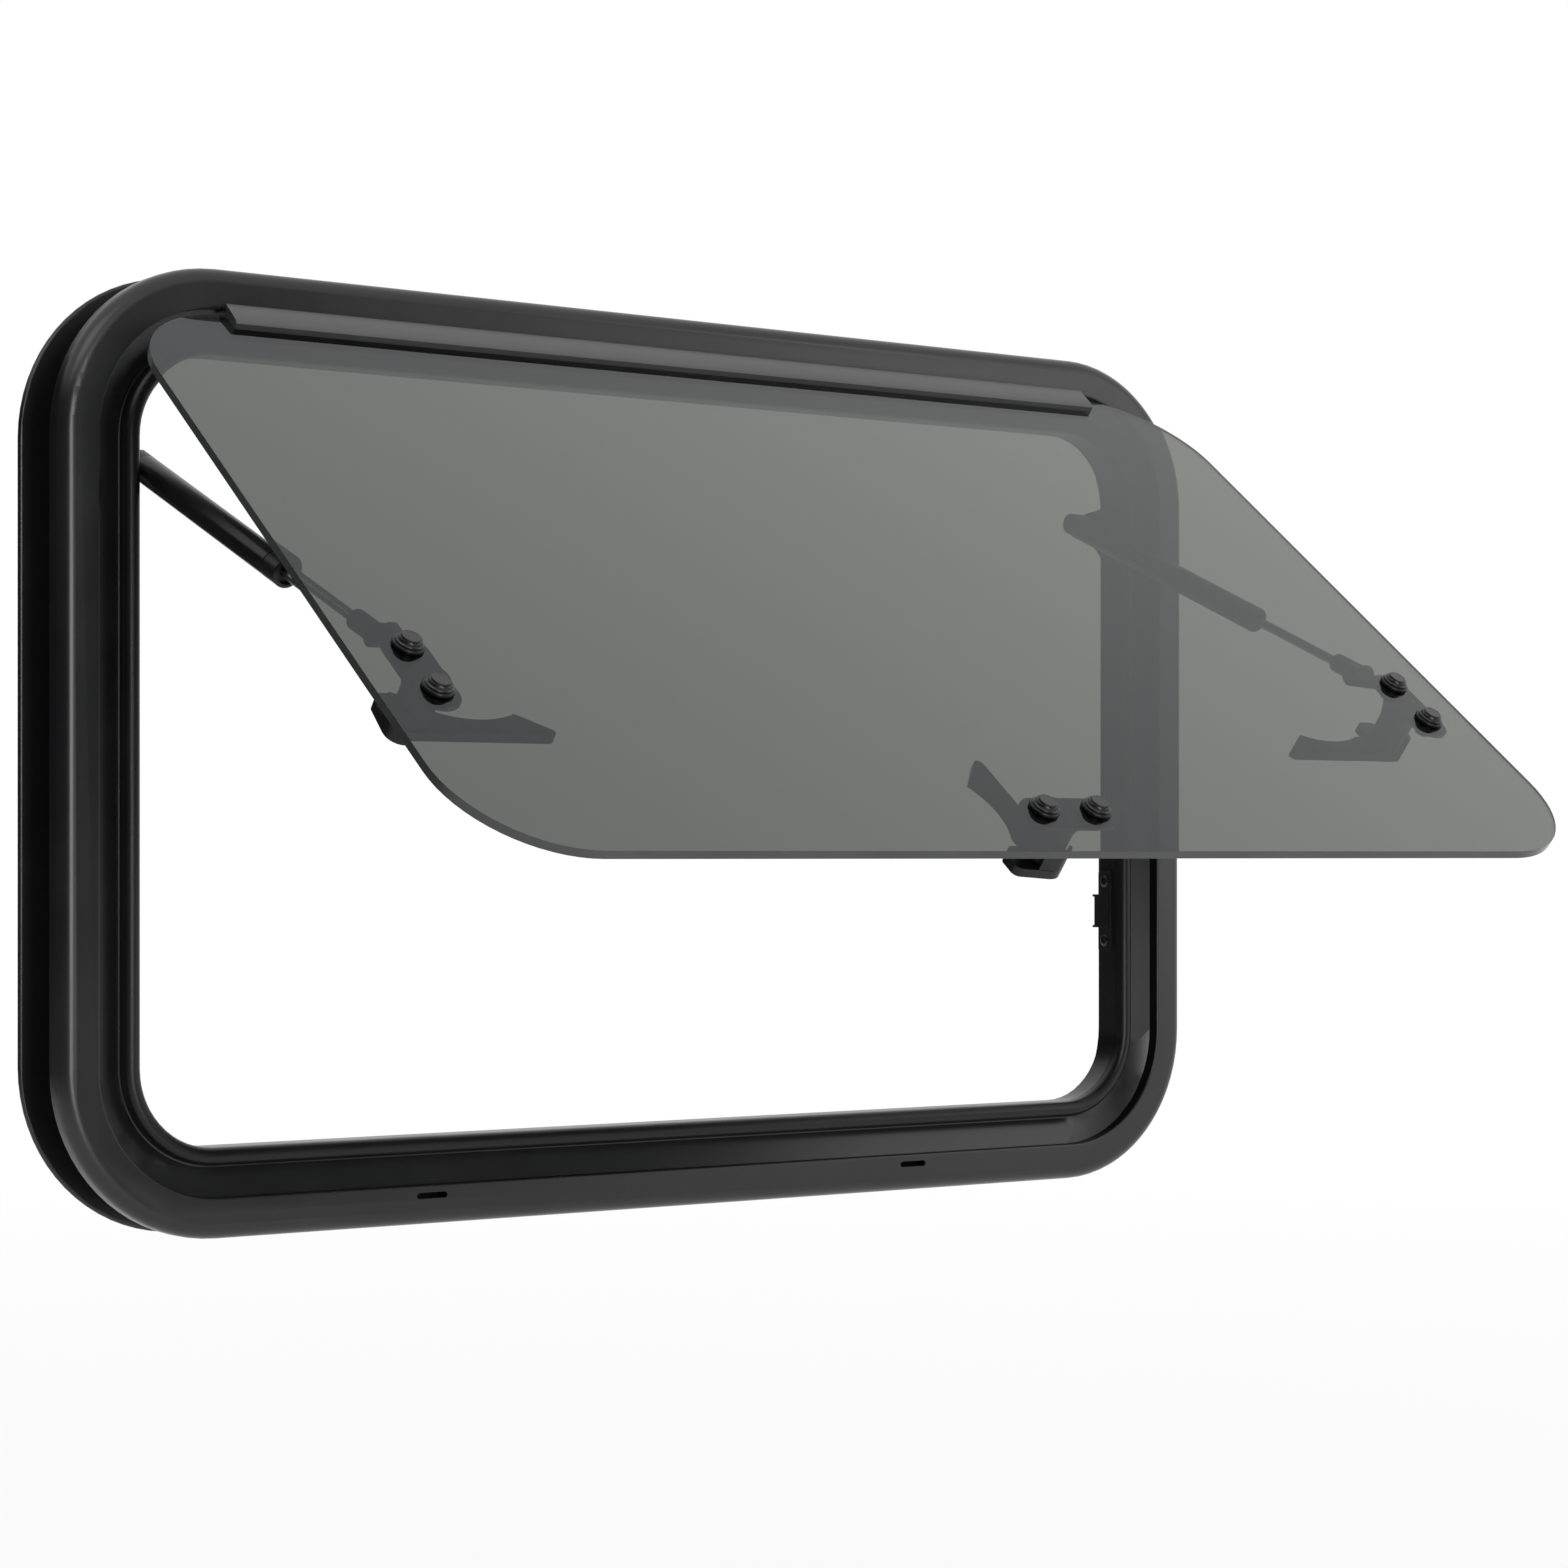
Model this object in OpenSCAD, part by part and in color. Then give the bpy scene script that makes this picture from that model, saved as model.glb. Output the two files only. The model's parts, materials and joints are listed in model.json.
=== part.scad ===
/* [Outer frame] */
// Width over the outer frame
frame_w = 850; // [700:10:1100]
// Height over the outer frame
frame_h = 560; // [480:10:800]
// Radius of the outer corners
corner_r = 100; // [85:1:120]
// How far the rim stands out from the wall
rim_proud = 15; // [13:0.5:18]
// Width of the raised rim
rim_w = 24; // [22:0.5:28]
// Radius of the rim's outer shoulder
shoulder_r = 9; // [7:0.5:10]
// Wall thickness of the extruded profiles
profile_t = 2; // [1.6:0.1:2.4]
// Height of the gutter floor at the rim, from the wall
gutter_h = 7.3; // [6:0.1:8.5]
// Height of the seal ledge, from the wall
ledge_h = 2.6; // [2.2:0.1:3.5]
// Distance from the outer edge to the seal ledge
ledge_s = 41; // [40:0.5:43]
// Distance from the outer edge to the clear opening
reveal_s = 52.5; // [51:0.5:56]
// Depth of the reveal behind the wall's outer face
reveal_d = 13; // [12:0.5:14]
// Width of the flat land that seals on the wall
land_w = 14; // [12:0.5:16]
// Length of a drain slot in the bottom rim
drain_l = 21; // [12:1:30]
// Height of a drain slot
drain_h = 3.7; // [3:0.1:4.5]
// Distance of the drain slots from the middle
drain_x = 184; // [120:1:210]
// Distance of the drain slots from the bottom edge
drain_s = 17.7; // [16:0.1:18]

/* [Clamp ring] */
// Thickness of the wall that the window clamps
wall_t = 40; // [30:1:50]
// Distance from the outer edge to the ring's web
web_s = 26; // [26:0.5:28]
// Thickness of the clamp ring
ring_t = 1.8; // [1.5:0.1:2.2]
// Width of the ring's screwed flange
ring_inner_w = 23.5; // [20:0.5:24]
// Diameter of the ring screws
ring_screw_d = 4; // [3.5:0.1:4]
// Spacing of the ring screws along the top and bottom
ring_screw_gap_x = 180; // [120:5:190]
// Spacing of the ring screws up the sides
ring_screw_gap_z = 130; // [100:5:150]

/* [Pane] */
// Width of the glass
pane_w = 790; // [640:10:1040]
// Height of the glass
pane_h = 502; // [422:10:742]
// Thickness of the glass
glass_t = 5; // [4:0.5:6]
// Height of the glass's lower edge above the frame's lower edge
pane_rise = 30.5; // [29:0.5:31]
// How far the closed glass stands out from the wall
glass_proud = 16.5; // [16:0.1:17]
// Gap between the seal and the closed glass
seal_gap = 0.5; // [0.3:0.1:1]
// Angle at which the pane stands open
open_angle = 52.15; // [40:0.05:60]

/* [Hinge] */
// Length of the hinge
hinge_l = 650; // [500:10:650]
// Radius of the hinge bead
bead_r = 1.8; // [1.6:0.1:2]
// Running gap around the hinge bead
bead_gap = 0.3; // [0.2:0.05:0.35]
// Thickness of the hinge rail
rail_t = 1.4; // [1.2:0.1:1.6]
// How far the hinge bead stands out from the wall
bead_proud = 19; // [18.8:0.1:19.5]
// Wall of the hook around the bead
hook_t = 1.3; // [1.1:0.1:1.6]
// How far the hinge strip reaches down the glass
strip_drop = 12; // [10:0.5:14]

/* [Latches] */
// Distance between the two bolts of a latch
bolt_gap = 37.5; // [34:0.5:42]
// Distance of the bolts from the pane's edge
bolt_inset = 37; // [36:0.5:40]
// Diameter of the bolts
bolt_d = 6; // [5:0.5:6]
// Diameter of the rubber washers
washer_d = 18; // [16:0.5:20]
// Thickness of the rubber washers
washer_t = 2.4; // [2:0.1:3]
// Diameter of the bolt caps
cap_d = 13.5; // [12:0.5:14.5]
// Distance of the side latches from the top of the glass
side_latch_t = 350; // [320:1:380]
// Distance of the bottom latch from the middle
bottom_latch_x = -3; // [-20:1:20]
// Shift of the lever's pivot away from the pane's edge
hub_shift = 4; // [3:0.5:6]
// Thickness of the latch brackets
bracket_t = 2.5; // [2:0.1:3]
// Length of the latch brackets
bracket_l = 66; // [62:1:72]
// Height of the latch housings above the glass
housing_h = 30; // [28:0.5:32]
// Length of the latch housings at their widest
housing_l = 48; // [42:1:52]
// Width of the latch housings
housing_w = 22; // [20:0.5:22]
// Diameter of the lever spindle
spindle_d = 8; // [7:0.5:9]
// Length of the levers from the pivot
lever_l = 90; // [70:1:92]
// Thickness of the levers
lever_t = 5.5; // [5:0.1:6]
// Width of the levers at the tip
lever_w = 17; // [14:0.5:18]
// Diameter of the lever's hub
hub_d = 26; // [24:0.5:26]
// Length of the lever's nose from the pivot
nose_l = 28; // [26:0.5:30]
// Width of the lever's nose
nose_w = 14; // [12:0.5:15]

/* [Strikes] */
// Height of the strike plates
strike_h = 56; // [50:1:60]
// Width of the strike plates
strike_w = 14; // [13:0.5:14.5]
// Thickness of the strike plates
strike_t = 2; // [1.5:0.1:2.2]
// Height of the strike's tab
tab_h = 23; // [20:1:25]
// Distance between the strike's screws
strike_gap = 41; // [36:1:44]

/* [Struts] */
// Distance of the struts from the middle of the window
strut_x = 359; // [356:0.5:359]
// Distance of the sash pivot from the top of the glass
pivot_t = 304; // [290:1:308]
// Height of the sash pivot above the glass
pivot_h = 10.3; // [9.5:0.1:12]
// Height of the frame pivot above the frame's lower edge
stay_rise = 449.5; // [440:0.5:455]
// Distance of the frame pivot behind the wall's outer face
stay_depth = 26; // [24:0.5:28]
// Diameter of the strut tube
tube_d = 16.5; // [14:0.5:17]
// Wall of the strut tube
tube_wall = 1.7; // [1.2:0.1:2]
// Length of the strut tube from the frame pivot
tube_l = 198; // [190:1:200]
// Diameter of the strut rod
rod_d = 6; // [5:0.5:7]
// Diameter of the rod end
rod_end_d = 12; // [10:0.5:12]
// Length of the rod end from the sash pivot
rod_end_l = 23.4; // [20:0.1:24]

/* [Hidden] */
$fn = 64;
eps = 0.01;
black = [0.05, 0.05, 0.055];
rubber = [0.03, 0.03, 0.03];
plastic = [0.08, 0.08, 0.085];
steel = [0.45, 0.46, 0.47];
tint = [0.16, 0.19, 0.18, 0.6];

// The origin lies on the flange's back, in the middle of the bottom land
land_s = rim_w + profile_t - land_w / 2;
mid_z = frame_h / 2 - land_s;
reveal_x = frame_w / 2 - reveal_s;
port_s = 38.5;
port_w = ring_screw_d + 0.2;
port_t = 1.2;
ring_y = reveal_d + ring_t;
ring_screw_hole_d = ring_screw_d + 0.4;
screw_head_h = 2.4;
edge_r = 1.2;

// The glass when it is closed
glass_y = -glass_proud;
inner_y = glass_y + glass_t;
pane_top = pane_rise - land_s + pane_h;
pane_r = corner_r - (frame_w - pane_w) / 2;
bead_y = -bead_proud;
rail_z = frame_h - rim_w - land_s;
bead_z = rail_z - rail_t / 2;
hook_r = bead_r + bead_gap;
hook_lip = 32;

// Latches in their own frame: x away from the pane's edge, y inward from the glass, z along the edge
side_x = pane_w / 2 - bolt_inset;
side_z = pane_top - side_latch_t;
bottom_z = pane_top - pane_h + bolt_inset;
bracket_out = 7;
bracket_in = 17;
bolt_hole_d = bolt_d + 0.2;
glass_hole_d = bolt_d + 2;
nut_d = 11;
nut_h = 5;
cap_h = 3;
ring_h = 1.8;
lever_y = housing_h + 0.5;
cap_y = lever_y + lever_t;
spindle_gap = 0.05;
strike_z = side_z;
strike_back = reveal_d + 4.5;

// Struts in the standing-open pose, and their two pivots
stay_z = stay_rise - land_s;
pivot_closed = [inner_y + pivot_h, pane_top - pivot_t];
function turned(p, a) = [
    bead_y + (p[0] - bead_y) * cos(a) - (p[1] - bead_z) * sin(a),
    bead_z + (p[0] - bead_y) * sin(a) + (p[1] - bead_z) * cos(a)
];
pivot_open = turned(pivot_closed, -open_angle);
strut_l = norm([stay_depth - pivot_open[0], stay_z - pivot_open[1]]);
strut_a = atan2(stay_z - pivot_open[1], stay_depth - pivot_open[0]);
strut_closed_l = norm([stay_depth - pivot_closed[0], stay_z - pivot_closed[1]]);
bore_d = tube_d - 2 * tube_wall;
gland_l = 12;
socket_l = 14;
eye_d = 14;
eye_w = 9;
stay_t = 2.3;
stay_plate_h = 52;
stay_top = 10;
stay_screw_gap = 39;
stay_screw_y = 5;
sash_pin_d = 6;
rod_root = 8;
rod_stop = 24;
piston_l = 10;

// Plan frame: x across, y up from the window's middle, z outward from the wall
module in_plan() {
    translate([0, 0, mid_z])
        rotate([90, 0, 0])
            children();
}

// Carries a profile, drawn inward and outward from the outer edge, around the frame
module around() {
    for (i = [0 : 3]) {
        across = i % 2 == 0 ? frame_w : frame_h;
        along = i % 2 == 0 ? frame_h : frame_w;
        rotate([0, 0, 90 * i]) {
            translate([across / 2, along / 2 - corner_r, 0])
                rotate([90, 0, 0])
                    linear_extrude(along - 2 * corner_r)
                        mirror([1, 0])
                            children();
            translate([across / 2 - corner_r, along / 2 - corner_r, 0])
                rotate_extrude(angle = 90)
                    translate([corner_r, 0])
                        mirror([1, 0])
                            children();
        }
    }
}

// Turns the closed sash about the hinge bead to where it stands open
module opened() {
    translate([0, bead_y, bead_z])
        rotate([-open_angle, 0, 0])
            translate([0, -bead_y, -bead_z])
                children();
}

module on_right() {
    mirror([1, 0, 0])
        children();
}

// The latch's own frame at the left side of the pane, and at its bottom
module at_left_latch() {
    opened()
        translate([-side_x, inner_y, side_z])
            children();
}

module at_bottom_latch() {
    opened()
        translate([bottom_latch_x, inner_y, bottom_z])
            rotate([0, -90, 0])
                children();
}

// A cylinder along y
module disc(d, y0, y1) {
    translate([0, y1, 0])
        rotate([90, 0, 0])
            cylinder(h = y1 - y0, d = d);
}

module rim_profile() {
    difference() {
        union() {
            polygon([
                [0, 0], [rim_w + profile_t, 0], [rim_w + profile_t, profile_t], [rim_w, profile_t],
                [rim_w, rim_proud - edge_r], [rim_w - edge_r, rim_proud - edge_r], [rim_w - edge_r, rim_proud],
                [shoulder_r, rim_proud], [shoulder_r, rim_proud - shoulder_r], [0, rim_proud - shoulder_r]
            ]);
            translate([shoulder_r, rim_proud - shoulder_r])
                circle(shoulder_r);
            translate([rim_w - edge_r, rim_proud - edge_r])
                circle(edge_r);
        }
        polygon([
            [profile_t, -1], [rim_w + profile_t - land_w, -1], [rim_w + profile_t - land_w, profile_t],
            [rim_w - profile_t, profile_t], [rim_w - profile_t, rim_proud - profile_t],
            [shoulder_r, rim_proud - profile_t], [shoulder_r, rim_proud - shoulder_r],
            [profile_t, rim_proud - shoulder_r]
        ]);
        translate([shoulder_r, rim_proud - shoulder_r])
            circle(shoulder_r - profile_t);
    }
}

module gutter_profile() {
    fall = gutter_h / (ledge_s - rim_w);
    under = gutter_h - profile_t * 1.1;
    polygon([
        [rim_w, gutter_h], [ledge_s, 0], [ledge_s, ledge_h], [reveal_s, ledge_h],
        [reveal_s, -reveal_d], [reveal_s - profile_t, -reveal_d],
        [reveal_s - profile_t, ledge_h - profile_t], [ledge_s + profile_t, ledge_h - profile_t],
        [ledge_s + profile_t, -profile_t], [ledge_s - profile_t / 2, -profile_t],
        [rim_w, under]
    ]);
    polygon([
        [rim_w, 0], [rim_w + profile_t, 0], [rim_w + profile_t, -reveal_d],
        [rim_w + 2 * profile_t, -reveal_d], [rim_w + 2 * profile_t, under - 2 * profile_t * fall + eps],
        [rim_w, under + eps]
    ]);
}

module port_profile() {
    for (side = [-1, 1])
        translate([port_s + side * (port_w + port_t) / 2 - port_t / 2, -reveal_d])
            square([port_t, reveal_d + (side < 0 ? 0.6 : -profile_t / 2)]);
}

module drain_slots() {
    for (side = [-1, 1])
        translate([side * drain_x, drain_s - frame_h / 2, rim_proud - 2 * profile_t])
            for (end = [-1, 1])
                linear_extrude(3 * profile_t) {
                    square([drain_l - drain_h, drain_h], center = true);
                    translate([end * (drain_l - drain_h) / 2, 0])
                        circle(d = drain_h);
                }
}

module outer_frame() {
    color(black)
        in_plan()
            difference() {
                around() {
                    rim_profile();
                    gutter_profile();
                    port_profile();
                }
                drain_slots();
            }
}

module glazing_seal() {
    bulb_w = reveal_s - ledge_s - 1;
    bulb_top = -inner_y - seal_gap;
    color(rubber)
        in_plan()
            around()
                translate([reveal_s - bulb_w / 2, 0])
                    intersection() {
                        union() {
                            translate([0, bulb_top - bulb_w / 2])
                                circle(d = bulb_w);
                            translate([-bulb_w / 2, 0])
                                square([bulb_w, bulb_top - bulb_w / 2]);
                        }
                        translate([-bulb_w / 2, ledge_h])
                            square([bulb_w, bulb_top]);
                    }
}

// Places at each ring screw, on the seat of the port
module at_ring_screws() {
    x_edge = frame_w / 2 - port_s;
    y_edge = frame_h / 2 - port_s;
    for (side = [-1, 1]) {
        for (i = [-1.5 : 1.5])
            translate([i * ring_screw_gap_x, side * y_edge, -ring_y])
                children();
        for (i = [-1 : 1])
            translate([side * x_edge, i * ring_screw_gap_z, -ring_y])
                children();
    }
}

module clamp_ring() {
    back = -wall_t - ring_t;
    lip_r = ring_t;
    color(black)
        in_plan()
            difference() {
                around() {
                    translate([web_s, -ring_y])
                        square([ring_inner_w, ring_t]);
                    translate([web_s, back])
                        square([ring_t, wall_t + ring_t - reveal_d]);
                    translate([lip_r, back])
                        square([web_s, ring_t]);
                    translate([lip_r, back])
                        circle(lip_r);
                }
                at_ring_screws()
                    translate([0, 0, -1])
                        cylinder(h = ring_t + 2, d = ring_screw_hole_d);
            }
}

module ring_screws() {
    color(steel)
        in_plan()
            at_ring_screws() {
                translate([0, 0, -screw_head_h])
                    cylinder(h = screw_head_h, d = 7.5);
                translate([0, 0, -eps])
                    cylinder(h = 10, d = ring_screw_d);
            }
}

module hinge_rail() {
    color(black)
        translate([-hinge_l / 2, 0, 0])
            rotate([90, 0, 90])
                linear_extrude(hinge_l) {
                    translate([bead_y, bead_z])
                        circle(bead_r);
                    translate([bead_y, rail_z - rail_t])
                        square([bead_proud - gutter_h - 0.5, rail_t]);
                }
}

module hinge_strip() {
    drop_z = pane_top - strip_drop;
    hook_out = hook_r + hook_t;
    lip_a = open_angle + hook_lip;
    reach = 3 * hook_out;
    color(black)
        opened()
            translate([-hinge_l / 2, 0, 0])
                rotate([90, 0, 90])
                    linear_extrude(hinge_l)
                        difference() {
                            union() {
                                translate([bead_y, bead_z])
                                    circle(hook_out);
                                polygon([
                                    [bead_y - hook_out, bead_z], [bead_y - hook_out + 0.6, bead_z - 6],
                                    [glass_y - 3.2, drop_z + 2.4], [glass_y - 1.6, drop_z],
                                    [glass_y, drop_z], [glass_y, bead_z - hook_r]
                                ]);
                            }
                            translate([bead_y, bead_z]) {
                                circle(hook_r);
                                polygon([
                                    [0, 0], reach * [cos(-hook_lip), sin(-hook_lip)], [reach * 1.2, 0],
                                    reach * 1.2 * [cos(lip_a / 2), sin(lip_a / 2)],
                                    reach * [cos(lip_a), sin(lip_a)]
                                ]);
                            }
                        }
}

module glass_pane() {
    color(tint)
        opened()
            difference() {
                translate([0, inner_y, pane_top - pane_h / 2])
                    rotate([90, 0, 0])
                        linear_extrude(glass_t)
                            pane_outline();
                for (side = [-1, 1])
                    translate([side * side_x, 0, side_z])
                        bolt_holes();
                translate([bottom_latch_x, 0, bottom_z])
                    rotate([0, -90, 0])
                        bolt_holes();
            }
}

module pane_outline() {
    square([pane_w - 2 * pane_r, pane_h], center = true);
    square([pane_w, pane_h - 2 * pane_r], center = true);
    for (sx = [-1, 1], sy = [-1, 1])
        translate([sx * (pane_w / 2 - pane_r), sy * (pane_h / 2 - pane_r)])
            circle(pane_r);
}

module bolt_holes() {
    for (side = [-1, 1])
        translate([0, 0, side * bolt_gap / 2])
            disc(glass_hole_d, glass_y - 1, inner_y + 1);
}

module bracket_plate() {
    plate_r = 8;
    difference() {
        translate([0, bracket_t, 0])
            rotate([90, 0, 0])
                linear_extrude(bracket_t)
                    for (sx = [plate_r - bracket_out, bracket_in - plate_r], sy = [-1, 1])
                        translate([sx, sy * (bracket_l / 2 - plate_r)]) {
                            circle(plate_r);
                            square_to_middle(sx, sy, plate_r);
                        }
        for (side = [-1, 1])
            translate([0, 0, side * bolt_gap / 2])
                disc(bolt_hole_d, -1, bracket_t + 1);
    }
}

// Fills a rounded plate from one corner's centre to the plate's middle
module square_to_middle(sx, sy, r) {
    mid = (bracket_in - bracket_out) / 2;
    translate([min(0, mid - sx), sy > 0 ? -(bracket_l / 2 - r) : 0])
        square([abs(mid - sx), bracket_l / 2 - r]);
    translate([sx < mid ? -r : 0, sy > 0 ? -(bracket_l / 2 - r) : 0])
        square([r, bracket_l / 2 - r]);
    translate([min(0, mid - sx), sy > 0 ? 0 : -r])
        square([abs(mid - sx), r]);
}

// The ear beside the rod end, seen along x
module pivot_ear() {
    ear_x = side_x - strut_x + rod_end_d / 2 + 0.5;
    ear_t = 3.5;
    ear_r = 7;
    lift = side_latch_t - pivot_t;
    root = bracket_l / 2 - 14;
    difference() {
        translate([ear_x, 0, 0])
            rotate([90, 0, 90])
                linear_extrude(ear_t) {
                    translate([pivot_h, lift])
                        circle(ear_r);
                    polygon([
                        [bracket_t - eps, root], [bracket_t - eps, bracket_l / 2], [pivot_h - ear_r, lift],
                        [pivot_h + ear_r, lift], [pivot_h, root]
                    ]);
                }
        translate([ear_x - 1, pivot_h, lift])
            rotate([0, 90, 0])
                cylinder(h = ear_t + 2, d = sash_pin_d + 0.1);
    }
}

module side_bracket() {
    bracket_plate();
    pivot_ear();
}

module washer_pair() {
    for (side = [-1, 1])
        translate([0, 0, side * bolt_gap / 2])
            difference() {
                rotate([90, 0, 0])
                    rotate_extrude()
                        polygon([
                            [bolt_hole_d / 2, glass_t], [washer_d / 2 - 0.6, glass_t], [washer_d / 2, glass_t + 0.8],
                            [washer_d / 2 - 0.8, glass_t + washer_t], [bolt_hole_d / 2, glass_t + washer_t]
                        ]);
            }
}

module bolt_pair() {
    seat = glass_t + washer_t;
    for (side = [-1, 1])
        translate([0, 0, side * bolt_gap / 2])
            rotate([90, 0, 0]) {
                rotate_extrude()
                    polygon([
                        [0, seat], [washer_d / 2 - 1.2, seat], [washer_d / 2 - 1.2, seat + ring_h - 0.6],
                        [washer_d / 2 - 1.8, seat + ring_h], [cap_d / 2, seat + ring_h],
                        [cap_d / 2, seat + ring_h + 1], [cap_d / 2 - 1.4, seat + ring_h + cap_h - 0.6],
                        [cap_d / 2 - 2.2, seat + ring_h + cap_h], [0, seat + ring_h + cap_h]
                    ]);
                translate([0, 0, -bracket_t - nut_h - 1])
                    cylinder(h = bracket_t + nut_h + 1 + seat + eps, d = bolt_d);
                translate([0, 0, -bracket_t - nut_h])
                    cylinder(h = nut_h, d = nut_d, $fn = 6);
            }
}

// A flared block with an elliptical look, wider along the edge than across
module housing() {
    foot_l = 24;
    waist = housing_h - 6;
    difference() {
        translate([hub_shift, 0, 0])
            rotate([90, 0, 90])
                translate([0, 0, -housing_w / 2])
                    linear_extrude(housing_w)
                        polygon([
                            [bracket_t, -foot_l / 2], [waist - 6, -foot_l / 2], [waist, -housing_l / 2],
                            [housing_h, -housing_l / 2 + 4], [housing_h, housing_l / 2 - 4],
                            [waist, housing_l / 2], [waist - 6, foot_l / 2], [bracket_t, foot_l / 2]
                        ]);
        translate([hub_shift, 0, 0])
            disc(spindle_d, housing_h - 12, housing_h + 1);
    }
}

module lever() {
    tip_w = lever_w;
    translate([hub_shift, 0, 0]) {
        disc(hub_d, lever_y, cap_y);
        disc(spindle_d - 2 * spindle_gap, housing_h - 11, lever_y + eps);
        translate([0, cap_y, 0])
            rotate([90, 0, 0])
                linear_extrude(lever_t) {
                    polygon([
                        [0, -hub_d / 2], [lever_l - 12, -hub_d / 2 + 3], [lever_l - 2, -hub_d / 2 + 6],
                        [lever_l, 0], [lever_l - 14, tip_w / 2 - 2], [lever_l * 0.5, 1], [0, hub_d / 2]
                    ]);
                    polygon([
                        [-nose_w / 2, 0], [nose_w / 2, 0], [nose_w / 2, nose_l - 3],
                        [nose_w / 2 - 3, nose_l], [-nose_w / 2 + 3, nose_l], [-nose_w / 2, nose_l - 3]
                    ]);
                }
    }
}

module lever_cap() {
    translate([hub_shift, cap_y, 0])
        rotate([-90, 0, 0])
            rotate_extrude()
                polygon([
                    [0, 0], [hub_d / 2 - 0.5, 0], [hub_d / 2 - 1, 2], [hub_d / 2 - 3, 4.2], [0, 4.6]
                ]);
}

// A strut's own frame: x along the strut from the sash pivot to the frame pivot
module at_left_strut() {
    translate([-strut_x, pivot_open[0], pivot_open[1]])
        rotate([0, 0, 90])
            rotate([0, -strut_a, 0])
                children();
}

module along(x0, x1, d) {
    translate([x0, 0, 0])
        rotate([0, 90, 0])
            cylinder(h = x1 - x0, d = d);
}

module tube() {
    start = strut_l - tube_l;
    difference() {
        along(start, strut_l - socket_l, tube_d);
        along(start - 1, strut_l - socket_l + 1, bore_d);
    }
}

module gland() {
    start = strut_l - tube_l + 2;
    difference() {
        along(start, start + gland_l, bore_d);
        along(start - 1, start + gland_l + 1, rod_d + 0.1);
    }
}

module socket() {
    difference() {
        union() {
            along(strut_l - socket_l - 8, strut_l - socket_l, bore_d);
            along(strut_l - socket_l, strut_l - 4, tube_d);
            translate([strut_l, 0, 0])
                disc(eye_d, -eye_w / 2, eye_w / 2);
        }
        translate([strut_l, 0, 0])
            disc(6, -eye_w, eye_w);
    }
    translate([strut_l, 0, 0])
        disc(6, -eye_w / 2, reveal_x - strut_x - stay_t - 0.4);
}

module rod() {
    along(rod_root, strut_closed_l - rod_stop, rod_d);
    along(strut_closed_l - rod_stop - piston_l, strut_closed_l - rod_stop, bore_d - 0.1);
}

module rod_end() {
    difference() {
        union() {
            disc(rod_end_d + 1, -rod_end_d / 2 + 1, rod_end_d / 2 - 1);
            along(3, rod_end_l, rod_end_d);
        }
        along(rod_root, rod_end_l + 1, rod_d);
    }
}

module stay_bracket() {
    arm_r = 8;
    z0 = stay_z + stay_top - stay_plate_h;
    difference() {
        translate([-reveal_x, 0, 0])
            rotate([90, 0, 90])
                linear_extrude(stay_t) {
                    translate([-1, z0])
                        square([12, stay_plate_h]);
                    polygon([
                        [10.9, stay_z - 24], [stay_depth, stay_z - arm_r], [stay_depth, stay_z + arm_r],
                        [10.9, stay_z + stay_top]
                    ]);
                    translate([stay_depth, stay_z])
                        circle(arm_r);
                }
        at_stay_screws()
            cylinder(h = 20, d = 4.2, center = true);
        translate([-reveal_x, stay_depth, stay_z])
            rotate([0, 90, 0])
                cylinder(h = 20, d = 6.2, center = true);
    }
}

// On the left reveal, looking into the wall
module at_stay_screws() {
    for (drop = [0, stay_screw_gap])
        translate([-reveal_x + stay_t, stay_screw_y, stay_z + stay_top - 4.5 - drop])
            rotate([0, 90, 0])
                children();
}

module stay_screw() {
    cylinder(h = 1.8, d = 7);
    translate([0, 0, -stay_t])
        cylinder(h = stay_t + eps, d = 4);
}

module strike() {
    half = strike_h / 2;
    y0 = -1;
    difference() {
        translate([-reveal_x, 0, strike_z])
            rotate([90, 0, 90])
                linear_extrude(strike_t) {
                    translate([y0, -half])
                        square([strike_w - 1, strike_h]);
                    translate([y0, -tab_h / 2])
                        square([strike_back - y0, tab_h]);
                }
        at_strike_screws()
            cylinder(h = 20, d = 4.2, center = true);
    }
}

module at_strike_screws() {
    for (side = [-1, 1])
        translate([-reveal_x + strike_t, 5.5, strike_z + side * strike_gap / 2])
            rotate([0, 90, 0])
                children();
}

module strike_screw() {
    cylinder(h = 1, d = 8);
    translate([0, 0, -strike_t])
        cylinder(h = strike_t + eps, d = 4);
}

module left_stay_bracket() { color(black) stay_bracket(); }
module right_stay_bracket() { color(black) on_right() stay_bracket(); }

module stay_screws() {
    color(steel) {
        at_stay_screws()
            stay_screw();
        on_right()
            at_stay_screws()
                stay_screw();
    }
}

module left_strike() { color(black) strike(); }
module right_strike() { color(black) on_right() strike(); }

module strike_screws() {
    color(steel) {
        at_strike_screws()
            strike_screw();
        on_right()
            at_strike_screws()
                strike_screw();
    }
}

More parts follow.
